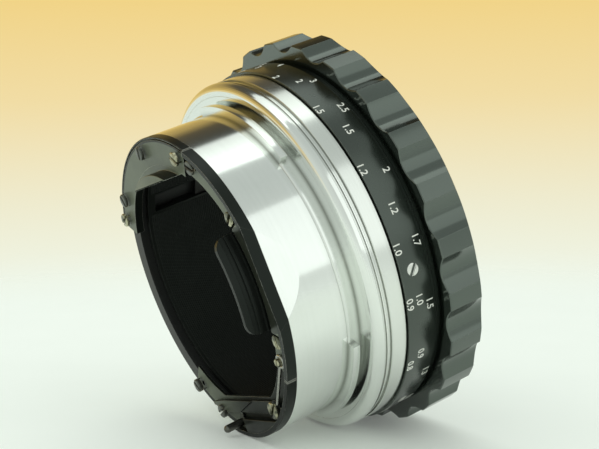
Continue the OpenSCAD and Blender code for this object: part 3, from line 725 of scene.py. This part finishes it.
def screw_set(node, body, finish, size, heads):
    """Screws in place of a solid. A head is its middle, its direction, its slot's turn, and True if black."""
    bm = slotted_screw(*size)
    pattern = bm.verts[:] + bm.edges[:] + bm.faces[:]
    for middle, facing, slot_turn, black in heads:
        copy = bmesh.ops.duplicate(bm, geom=pattern)["geom"]
        for face in only(BMFace, copy):
            face.material_index = int(black)
        place = (
            Matrix.Translation(middle)
            @ facing.to_track_quat("Z", "Y").to_matrix().to_4x4()
            @ Matrix.Rotation(math.radians(slot_turn), 4, "Z")
        )
        bmesh.ops.transform(bm, matrix=place, verts=only(BMVert, copy))
    bmesh.ops.delete(bm, geom=only(BMVert, pattern), context="VERTS")
    screws = add_piece("slotted_" + node, bm, body, finish, [node])
    if any(face.material_index for face in screws.data.polygons):
        screws.data.materials.append(finishes["dark_screw"])


# %% [markdown]
# The rear plates, the spring and the lever are held by screws that face backwards. A row of the table gives
# a set's head and shank, the circle and the place along the axis where its heads lie, and the turn of the
# slot at each clock angle. Some of the heads have kept their black.

# %% Rear screws
PLATE_CIRCLE = 32.75
LEVER_CIRCLE = 32.45
REAR_SCREWS = {
    "top_plate_screws": (
        (3.2, 1.3, 1.2, 4.9), PLATE_CIRCLE, -19.05, {-52.8: 25, -42.3: 110, -2.35: 70, 29.1: 140}),
    "side_plate_screws": (
        (3.2, 1.3, 1.2, 4.2), PLATE_CIRCLE, -18.3, {38.1: 150, 66.0: 35, 114.0: 80}),
    "bottom_plate_screws": ((3.2, 1.9, 1.2, 3.6), PLATE_CIRCLE, -18.3, {205.5: 20, 225.0: 130}),
    "spring_post": ((1.8, 1.7, 1.2, 4.2), LEVER_CIRCLE, -18.7, {123.0: 60}),
    "lever_pivot_screw": ((3.9, 1.2, 1.2, 4.4), LEVER_CIRCLE, -18.45, {152.0: 40}),
}
BLACK_HEADS = (-42.3, -2.35, 38.1, 205.5, 225.0)

for node, (size, circle, along, turns) in REAR_SCREWS.items():
    screw_set(node, "body", finishes["plate_screw"], size, [
        (on_clock(clock, circle * MM, along * MM), REARWARD, turn, clock in BLACK_HEADS)
        for clock, turn in turns.items()])

# %% [markdown]
# The other screws are spread evenly round the axis: three round the scale ring face straight out, and those
# of the grip, the lens ring and the guide keys face forwards.

# %% More screws
LOCK_CIRCLE = 42.31
LOCK_AT = 11.18
LOCK_TURN = 55
# body, finish, size, circle, place along the axis, first clock and count, slot's turn for a degree of clock
FORWARD_SCREWS = {
    "grip_screws": ("focus", "dark_screw", (2.6, 1.0, 1.2, 5.4), 33.8, 17.955, (0, 6), 1.2),
    "mount_ring_screws": ("carrier", "dark_screw", (1.4, 0.6, 0.8, 3.9), 30.63, 18.305, (20, 3), 0.7),
    "key_screws": ("body", "bright_screw", (1.6, 0.7, 1.2, 5.0), 32.72, 2.2, (-45, 2), 1.0),
}


def ring_of_clocks(first, count):
    """Clock angles evenly spread round the axis."""
    return [first + 360 * step / count for step in range(count)]


screw_set("scale_lock_screws", "focus", finishes["bright_screw"], (2.9, 0.9, 1.2, 2.0), [
    (on_clock(clock, LOCK_CIRCLE * MM, LOCK_AT * MM), on_clock(clock, 1, 0), LOCK_TURN, False)
    for clock in ring_of_clocks(103.4, 3)])
for node, (body, finish, size, circle, along, spread, slot_turn) in FORWARD_SCREWS.items():
    screw_set(node, body, finishes[finish], size, [
        (on_clock(clock, circle * MM, along * MM), FORWARD, clock * slot_turn, False)
        for clock in ring_of_clocks(*spread)])

# %% [markdown]
# ## Numbers on the scale
#
# The ring serves three lenses, so it has three columns of distances. Where a number belongs follows from
# optics: a lens of focal length F that is focused at a distance D from the film has moved out by about
# F² / (D − 2F), and the ring turns by that length over the lead of the thread. Each number starts as a text
# curve, becomes a mesh, and is then rolled round the ring. The sign for far away is an 8 on its side.

# %% Numbers
THREAD_LEAD = 18.75
FAR_STOP_CLOCK = -30.8
DIGIT_HEIGHT = 1.62
PAINT_PROUD = 0.02
PAINT_DEEP = 0.06
BOLDER = 0.012
SCALES = [
    (75, 8.95, ["10", "5", "3", "2", "1.5", "1.2", "1.0", "0.9", "0.8", "0.7", "0.6"]),
    (79.3, 11.45, ["10", "5", "3", "2", "1.5", "1.2", "1.0", "0.9", "0.8", "0.7"]),
    (99.5, 13.90, ["10", "5", "4", "3", "2.5", "2", "1.7", "1.5", "1.3", "1.2", "1.0"]),
]


def distance_clock(focal, metres):
    """The clock angle of a distance on the scale of a lens."""
    moved_out = focal ** 2 / (metres * 1000 - 2 * focal)
    return FAR_STOP_CLOCK + 360 * moved_out / THREAD_LEAD


def text_mesh(words):
    """A flat-faced mesh of a few characters, about one unit high, on its base line."""
    curve = bpy.data.curves.new("words", "FONT")
    curve.body = words
    curve.align_x = "CENTER"
    curve.extrude = 0.5
    curve.resolution_u = 5
    curve.offset = BOLDER
    holder = bpy.data.objects.new("words", curve)
    bpy.context.collection.objects.link(holder)
    flat = bpy.data.meshes.new_from_object(holder.evaluated_get(bpy.context.evaluated_depsgraph_get()))
    bpy.data.objects.remove(holder)
    bpy.data.curves.remove(curve)
    return flat


zero = text_mesh("0")
digit_middle = max(vert.co.y for vert in zero.vertices) / 2
bpy.data.meshes.remove(zero)


def roll_words(bm, words, clock, along, on_side=False):
    """Adds characters, rolled round the scale ring at a clock angle and a place along the axis."""
    before = len(bm.verts)
    flat = text_mesh(words)
    bm.from_mesh(flat)
    bpy.data.meshes.remove(flat)
    bm.verts.ensure_lookup_table()
    fresh = bm.verts[before:]
    bmesh.ops.translate(bm, vec=(0, -digit_middle, 0), verts=fresh)
    if on_side:
        bmesh.ops.rotate(bm, cent=(0, 0, 0), matrix=Matrix.Rotation(math.pi / 2, 3, "Z"), verts=fresh)
    grow = DIGIT_HEIGHT * MM / (2 * digit_middle)
    for vert in fresh:
        sideways, upwards, outwards = vert.co
        lift = PAINT_PROUD if outwards > 0 else -PAINT_DEEP
        roll = math.degrees(sideways * grow / scale_radius)
        vert.co = on_clock(clock + roll, scale_radius + lift * MM, along * MM + upwards * grow)


bm = bmesh.new()
roll_words(bm, "8", FAR_STOP_CLOCK, SCALES[0][1], on_side=True)
for focal, along, numbers in SCALES:
    for number in numbers:
        roll_words(bm, number, distance_clock(focal, float(number)), along)
add_piece("scale_numbers", bm, "focus", white_paint)

# %% [markdown]
# The numbers are read against one mark on the chrome ring. A triangle is enough: a circle of three corners,
# pulled a little way out of the surface, with its point towards the scale.

# %% Index mark
MARK_RADIUS = 1.1
MARK_AT = 6.4

index_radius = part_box("index_ring")[1].z
bm = bmesh.new()
bmesh.ops.create_circle(bm, cap_ends=True, segments=3, radius=MARK_RADIUS * MM)
pull(bm, bm.faces[:], (0, 0, (PAINT_PROUD + PAINT_DEEP) * MM))
bmesh.ops.rotate(bm, cent=(0, 0, 0), matrix=Matrix.Rotation(-math.pi / 2, 3, "Z"), verts=bm.verts)
bmesh.ops.translate(bm, vec=(MARK_AT * MM, 0, index_radius - PAINT_DEEP * MM), verts=bm.verts)
add_piece("index_mark", bm, "body", black_paint)

# %% [markdown]
# ## Top plate
#
# The top plate is the thickest of the three, with a fine rim round its edge, a straight inner edge and a
# raised part with a round back. The band along the rim is a section that is spun through the plate's arc.
# What lies between the band and the straight edge, and the raised part, are discs cut off along one line and
# pulled backwards. Two helpers make such bands and discs, because other pieces need them too.

# %% Bands and cut discs
DISC_SIDES = 192


def corners_at(bm, outline, clock):
    """New vertices at a clock angle, from radii and places along the axis in mm."""
    return [bm.verts.new(on_clock(clock, radius * MM, along * MM)) for radius, along in outline]


def spun_band(bm, outline, span, steps, travel=0.0):
    """Adds an outline that is spun through a span of clock angles and travels forwards, in mm a step."""
    section = bm.faces.new(corners_at(bm, outline, span[0]))
    bmesh.ops.spin(
        bm, geom=[section], cent=(0, 0, 0), axis=FORWARD, angle=math.radians(span[1] - span[0]), steps=steps,
        dvec=FORWARD * travel * MM)


def cut_disc(bm, middle, radius, cuts, along, edge):
    """Adds a disc across the axis, in mm, cut off by lines, pulled from one place to another."""
    disc = bmesh.ops.create_circle(
        bm, cap_ends=True, segments=DISC_SIDES, radius=radius * MM,
        matrix=Matrix.Translation(Vector((along[0], *middle)) * MM) @ Matrix.Rotation(math.pi / 2, 4, "Y"))
    faces = {face for vert in disc["verts"] for face in vert.link_faces}
    for point, kept_side in cuts:
        geom = list({part for face in faces for part in (face, *face.edges, *face.verts)})
        cut = bmesh.ops.bisect_plane(
            bm, geom=geom, plane_co=Vector((0, *point)) * MM, plane_no=Vector((0, *kept_side)),
            clear_inner=True)
        faces = {face for face in only(BMFace, cut["geom"]) if face.is_valid}
    pulled = pull(bm, list(faces), FORWARD * (along[1] - along[0]) * MM)
    if edge:
        round_edges(bm, only(BMEdge, pulled), edge * MM)


# %% [markdown]
# The three shapes of the plate overlap by a hair, so that no gap shows between them.

# %% Top plate
PLATE_SEAT = -15.8
PLATE_RADIUS = 35.55
OPENING_RADIUS = 29.15
TOP_FACE = -17.75
TOP_SPAN = (-57.3, 33.3)
TOP_STEPS = 90
TOP_EDGE = 25.2
RIM_WIDTH = 0.35
RIM_GROOVE = 0.4
RIM_CHAMFER = 0.12
SHIELD_BACK = -21.2
SHIELD_RADIUS = 20.8
SHIELD_MIDDLE = (-3.0, 27.6 - SHIELD_RADIUS)
SHIELD_ROUND = 0.2
HAIR = 0.02

rim = PLATE_RADIUS - RIM_WIDTH
outline = [
    (OPENING_RADIUS, PLATE_SEAT), (PLATE_RADIUS, PLATE_SEAT), (PLATE_RADIUS, TOP_FACE + RIM_CHAMFER),
    (PLATE_RADIUS - RIM_CHAMFER, TOP_FACE), (rim, TOP_FACE), (rim, TOP_FACE + RIM_GROOVE),
    (rim - RIM_WIDTH, TOP_FACE + RIM_GROOVE), (rim - RIM_WIDTH, TOP_FACE), (OPENING_RADIUS, TOP_FACE),
]
bm = bmesh.new()
spun_band(bm, outline, TOP_SPAN, TOP_STEPS)
cut_disc(
    bm, (0, 0), OPENING_RADIUS + 3 * HAIR, [((0, TOP_EDGE), (0, 1))], (PLATE_SEAT, TOP_FACE + HAIR), 0)
cut_disc(
    bm, SHIELD_MIDDLE, SHIELD_RADIUS, [((0, TOP_EDGE + HAIR), (0, 1))],
    (TOP_FACE + 10 * HAIR, SHIELD_BACK), SHIELD_ROUND)
add_piece("rear_top_plate", bm, "body", finishes["black_plate"], ["top_plate"])

# %% [markdown]
# At the bottom the lever lies in a shallow recess, and what is left below it is a land as high as the lip. It
# is one more disc, cut off above and at the side where the pin comes through.

# %% Land below the lever
LAND_FROM = -16.3
LAND_FACE = -18.2
LAND_TOP = -31.2
LAND_SIDE = 3.2
LAND_ROUND = 0.15

bm = bmesh.new()
cut_disc(
    bm, (0, 0), PLATE_RADIUS - RIM_CHAMFER, [((0, LAND_TOP), (0, -1)), ((LAND_SIDE, 0), (-1, 0))],
    (LAND_FROM, LAND_FACE), LAND_ROUND)
# The land takes the finish with painted shade.
add_piece("rear_land", bm, "body", finishes["shaded_recess_black"])

# %% [markdown]
# The lever ends in a flat finger with a slanting end, which stands a little proud of it and is grey with dust
# and painted sheen.
# It is the only pale thing down there. Its corners are few, so it is one face that is pulled backwards and
# bevelled.

# %% Finger of the lever
FINGER_CORNERS = [(18.3, -27.35), (11.5, -27.0), (-4.0, -27.0), (4.6, -29.8), (11.0, -29.8), (18.1, -28.1)]
FINGER_FROM = -17.15
FINGER_FACE = -17.6
FINGER_ROUND = 0.08

bm = bmesh.new()
corners = [bm.verts.new(Vector((FINGER_FROM, *corner)) * MM) for corner in FINGER_CORNERS]
pulled = pull(bm, [bm.faces.new(corners)], FORWARD * (FINGER_FACE - FINGER_FROM) * MM)
bmesh.ops.holes_fill(bm, edges=open_edges(bm))
round_edges(bm, only(BMEdge, pulled), FINGER_ROUND * MM, segments=2)
# The finger takes the finish with painted shade, and is pale where its ramp is high.
add_piece("lever_finger", bm, "lever", finishes["shaded_recess_black"])

# %% [markdown]
# ## Scale ring
#
# Next to the grip the scale ring falls away into a groove, which shows as a black band. The solid is a plain
# ring, so a ring that is spun from the full section takes its place.

# %% Scale ring
RING_WALL = 1.67
RING_CHAMFER = 0.1
RING_STEPS = 360
GROOVE = [(0, 14.60), (0.06, 14.80), (0.20, 14.97), (0.50, 15.12), (0.95, 15.20), (1.10, 15.30)]


def spun_ring(bm, outline, start, steps):
    """Adds a closed outline that is spun all the way round from a clock angle."""
    corners = corners_at(bm, outline, start)
    sides = [bm.edges.new(pair) for pair in zip(corners, corners[1:] + corners[:1])]
    bmesh.ops.spin(
        bm, geom=corners + sides, cent=(0, 0, 0), axis=FORWARD, angle=2 * math.pi, steps=steps,
        use_merge=True)


outside = scale_radius / MM
back = scale_low.x / MM
front = scale_high.x / MM
outline = [(outside - RING_WALL, back), (outside - RING_CHAMFER, back), (outside, back + RING_CHAMFER)]
outline += [(outside - depth, along) for depth, along in GROOVE]
outline += [(outside - GROOVE[-1][0], front), (outside - RING_WALL, front)]
bm = bmesh.new()
spun_ring(bm, outline, 0, RING_STEPS)
add_piece("grooved_scale_ring", bm, "focus", finishes["black_ring"], ["scale_ring"])

# %% [markdown]
# ## Grip
#
# The flutes of the grip run out through its front, which is a blunt cone: a deeper point of a flute reaches
# further forward, so the front edge still looks round from behind. The solid has a flat front with a plain
# rim. A ring is spun from the full section, and then every point of its outer side sinks by the depth of the
# flute at its place. The edges of the flutes are marked sharp, so that they stay crisp all along.

# %% Grip
FLUTES = 24
FIRST_LAND = 9.7
FLUTE_HALF = 5.0
FLUTE_DEPTH = 1.86
STEPS_A_FLUTE = 30
GRIP_GAP = 0.03
GRIP_CHAMFER = 0.2
GRIP_LOOPS = (18.5, 20.5, 22.5)
CONE_FROM = 24.35
CONE_REACH = 1.35
CONE_DROP = 1.95
GRIP_BORE = 41.06
WEB_FACES = (15.455, 17.705)
WEB_BORE = 32.13
SLEEVE_BORE = 37.61
SLEEVE_RADIUS = 40.51
ON_THE_EDGE = 0.01


def across_flute(point):
    """Where a point lies across its flute: 0 in the middle, 1 at an edge, more on a land."""
    clock = math.degrees(math.atan2(-point.y, point.z))
    pitch = 360 / FLUTES
    return abs((clock - FIRST_LAND) % pitch - pitch / 2) / FLUTE_HALF


land = grip_radius / MM
rear = scale_high.x / MM + GRIP_GAP
sleeve_back = grip_low.x / MM
cone_to = CONE_FROM + CONE_REACH
outline = [(SLEEVE_RADIUS, rear), (land - GRIP_CHAMFER, rear), (land, rear + GRIP_CHAMFER)]
outline += [(land, along) for along in (*GRIP_LOOPS, CONE_FROM)]
outline += [
    (land - CONE_DROP, cone_to), (GRIP_BORE + GRIP_CHAMFER, cone_to), (GRIP_BORE, cone_to - GRIP_CHAMFER),
    (GRIP_BORE, WEB_FACES[1]), (WEB_BORE, WEB_FACES[1]), (WEB_BORE, WEB_FACES[0]),
    (SLEEVE_BORE, WEB_FACES[0]), (SLEEVE_BORE, sleeve_back), (SLEEVE_RADIUS, sleeve_back),
]
bm = bmesh.new()
spun_ring(bm, outline, FIRST_LAND + 180 / FLUTES - FLUTE_HALF, FLUTES * STEPS_A_FLUTE)
for vert in bm.verts:
    outwards = Vector((0, vert.co.y, vert.co.z))
    if outwards.length > (land - 2 * GRIP_CHAMFER) * MM:
        depth = FLUTE_DEPTH * max(0, 1 - across_flute(vert.co) ** 2) * MM
        on_cone = vert.co.x > (CONE_FROM - GRIP_CHAMFER) * MM
        vert.co -= outwards.normalized() * depth
        vert.co.x += depth * CONE_REACH / CONE_DROP if on_cone else 0
grip = add_piece("fluted_grip", bm, "focus", finishes["grip_black"], ["grip_ring"])
for edge in grip.data.edges:
    ends = [grip.data.vertices[index].co for index in edge.vertices]
    if all(abs(across_flute(end) - 1) < ON_THE_EDGE for end in ends):
        edge.use_edge_sharp = True

# %% [markdown]
# ## Ribs inside the tube
#
# Stray light inside the tube is broken up by fine ribs. They could be a bump in the material, but a close
# look along the tube would give that away. A saw-toothed outline is spun part of the way round, twice, so
# that the two guide slots stay open.

# %% Ribs
RIB_PITCH = 0.5
RIB_DEPTH = 0.14
RIB_FOOT = 0.1
RIB_CREST = 0.5
RIB_COUNT = 52
RIB_STEPS = 64
RIBS_FROM = -13.2
TUBE_BORE = 29.78
BEDDED = 0.06
SLOT_CLOCKS = (-45, 135)
SLOT_HALF_ARC = 6.5

ribs_to = RIBS_FROM + RIB_COUNT * RIB_PITCH
outline = [(TUBE_BORE + BEDDED, RIBS_FROM)]
for rib in range(RIB_COUNT):
    rib_at = RIBS_FROM + rib * RIB_PITCH
    outline += [
        (TUBE_BORE, rib_at + RIB_FOOT * RIB_PITCH),
        (TUBE_BORE - RIB_DEPTH, rib_at + RIB_CREST * RIB_PITCH),
    ]
outline += [(TUBE_BORE, ribs_to), (TUBE_BORE + BEDDED, ribs_to)]
bm = bmesh.new()
for slot_clock in SLOT_CLOCKS:
    spun_band(bm, outline, (slot_clock + SLOT_HALF_ARC, slot_clock + 180 - SLOT_HALF_ARC), RIB_STEPS)
add_piece("carrier_ribs", bm, "carrier", finishes["rib_black"])

# %% [markdown]
# The ring at the front takes the lens on a fine thread. A thread is a small triangle that travels along the
# axis while it is spun: the spin operator has a step along for just that.

# %% Lens thread
LENS_RADIUS = 28.5
LENS_PITCH = 1.0
LENS_TURNS = 6
TOOTH_DEPTH = 0.35
TOOTH_CREST = 0.5
TOOTH_FOOT = 0.9
STEPS_A_TURN = 72

root = LENS_RADIUS + BEDDED
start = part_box("lens_mount_ring")[0].x / MM + LENS_PITCH / 2
tooth = [
    (root, start), (LENS_RADIUS - TOOTH_DEPTH, start + TOOTH_CREST * LENS_PITCH),
    (root, start + TOOTH_FOOT * LENS_PITCH),
]
bm = bmesh.new()
spun_band(
    bm, tooth, (0, 360 * LENS_TURNS), STEPS_A_TURN * LENS_TURNS, travel=LENS_PITCH / STEPS_A_TURN)
add_piece("lens_thread", bm, "carrier", finishes["mount_metal"])

# %% [markdown]
# ## Floor and backdrop
#
# The floor is a matt sheet, pale and a little green, with a trace of glow so that shadows stay faint. It
# fades to clear towards its edge, and it is clear from below.

# %% Floor sheet
FLOOR_TONES = ((0.785, 0.825, 0.78), (0.815, 0.855, 0.81))
FLOOR_MOTTLE = 30.0
FLOOR_FADE = (0.10, 0.42)

floor_sheet, tree, shader = start_material(
    "floor_sheet", Roughness=0.9, Emission_Color=(0.90, 0.95, 0.90, 1), Emission_Strength=0.12)
place = object_place(tree)
mottle = noise(tree, place, FLOOR_MOTTLE, detail=2.0)
feed(tree, shader, Base_Color=mix_colour(tree, mottle, *FLOOR_TONES))
fade = stretch(tree, vector_node(tree, "LENGTH", place).outputs["Value"], *FLOOR_FADE, smooth=True)
below = add_node(tree, "ShaderNodeNewGeometry").outputs["Backfacing"]
clear = add_node(tree, "ShaderNodeBsdfTransparent")
cover = add_node(
    tree, "ShaderNodeMixShader", i0=math_node(tree, "MAXIMUM", fade, below), i1=shader.outputs[0],
    i2=clear.outputs[0])
feed(tree, tree.nodes["Material Output"], Surface=cover.outputs[0])
floor.data.materials.append(floor_sheet)
print("finish:", floor_sheet.name)

# %% [markdown]
# Where the floor ends, the world takes over: a pale sweep that turns to warm yellow higher up, and a grey
# room on the camera's side. The camera and shiny surfaces see these, and all other rays get a plain light
# grey, so that the colour of the backdrop doesn't tint the whole object.

# %% World
HEIGHTS = (-0.3, 1.0)
SWEEP = [
    (0.04, (0.84, 0.93, 0.855)), (0.12, (0.865, 0.935, 0.835)), (0.178, (0.86, 0.83, 0.62)),
    (0.237, (0.88, 0.72, 0.376)), (0.30, (0.88, 0.65, 0.231)), (0.42, (0.66, 0.46, 0.14)),
    (0.60, (0.42, 0.30, 0.10)), (0.72, (0.10, 0.08, 0.045)), (0.90, (0.045, 0.05, 0.045)),
]
ROOM = [
    (0.10, (0.86, 0.93, 0.87)), (0.30, (0.74, 0.80, 0.75)), (0.55, (0.70, 0.75, 0.71)),
    (0.95, (0.58, 0.63, 0.60)),
]
ROOM_TO_SWEEP = (-0.2, 0.35)
PLAIN_LIGHT = (0.95, 1.0, 0.95, 1)
PLAIN_STRENGTH = 0.85


def ramp_node(tree, factor, stops):
    """The colour of a Color Ramp with the given places and colours."""
    made = add_node(tree, "ShaderNodeValToRGB", Fac=factor)
    elements = made.color_ramp.elements
    while len(elements) < len(stops):
        elements.new(0.5)
    for element, (place, colour) in zip(elements, stops):
        element.position = place
        element.color = (*colour, 1)
    return made.outputs["Color"]


world = bpy.data.worlds.new("studio")
world.use_nodes = True
bpy.context.scene.world = world
tree = world.node_tree
direction = add_node(tree, "ShaderNodeTexCoord").outputs["Generated"]
upwards = vector_node(tree, "DOT_PRODUCT", direction, floor_up).outputs["Value"]
height = stretch(tree, upwards, *HEIGHTS)
behind = stretch(tree, parts_of(tree, direction)["Y"], *ROOM_TO_SWEEP, smooth=True)
seen = mix_colour(tree, behind, ramp_node(tree, height, ROOM), ramp_node(tree, height, SWEEP))
path = add_node(tree, "ShaderNodeLightPath").outputs
shiny = math_node(tree, "MAXIMUM", path["Is Glossy Ray"], path["Is Transmission Ray"])
looked_at = math_node(tree, "MAXIMUM", path["Is Camera Ray"], shiny)
plain = add_node(tree, "ShaderNodeBackground", Color=PLAIN_LIGHT, Strength=PLAIN_STRENGTH)
shown = add_node(tree, "ShaderNodeBackground", Color=seen, Strength=1.0)
both = add_node(tree, "ShaderNodeMixShader", i0=looked_at, i1=plain.outputs[0], i2=shown.outputs[0])
feed(tree, tree.nodes["World Output"], Surface=both.outputs[0])
print("world nodes:", len(tree.nodes))

# %% [markdown]
# ## Light
#
# Chrome shows what is around it more than what shines on it, so the shape of the lamps matters. Two large
# soft boxes do the work: one overhead, one in front to the right. They make the two broad bands on the
# barrel, with a darker band between.

# %% Soft boxes
def soft_box(name, direction, distance, width, height, power, colour):
    """A rectangular lamp in a direction from the object, wide along the axis, that points at it."""
    lamp = bpy.data.lights.new(name, "AREA")
    lamp.shape = "RECTANGLE"
    lamp.size = width
    lamp.size_y = height
    lamp.energy = power
    lamp.color = colour
    stand = bpy.data.objects.new(name, lamp)
    away = Vector(direction).normalized()
    wide = (FORWARD - away * away.dot(FORWARD)).normalized()
    stand.matrix_world = Matrix((wide, away.cross(wide), away)).transposed().to_4x4()
    stand.matrix_world.translation = away * distance
    bpy.context.collection.objects.link(stand)
    print("lamp:", name)


soft_box(
    "overhead_box", direction=(0.08, 0.04, 0.99), distance=0.65, width=0.85, height=0.36, power=0.94,
    colour=(0.94, 1.0, 0.95))
soft_box(
    "front_box", direction=(0.33, -0.92, 0.20), distance=0.8, width=0.75, height=0.70, power=0.77,
    colour=(0.95, 1.0, 0.97))
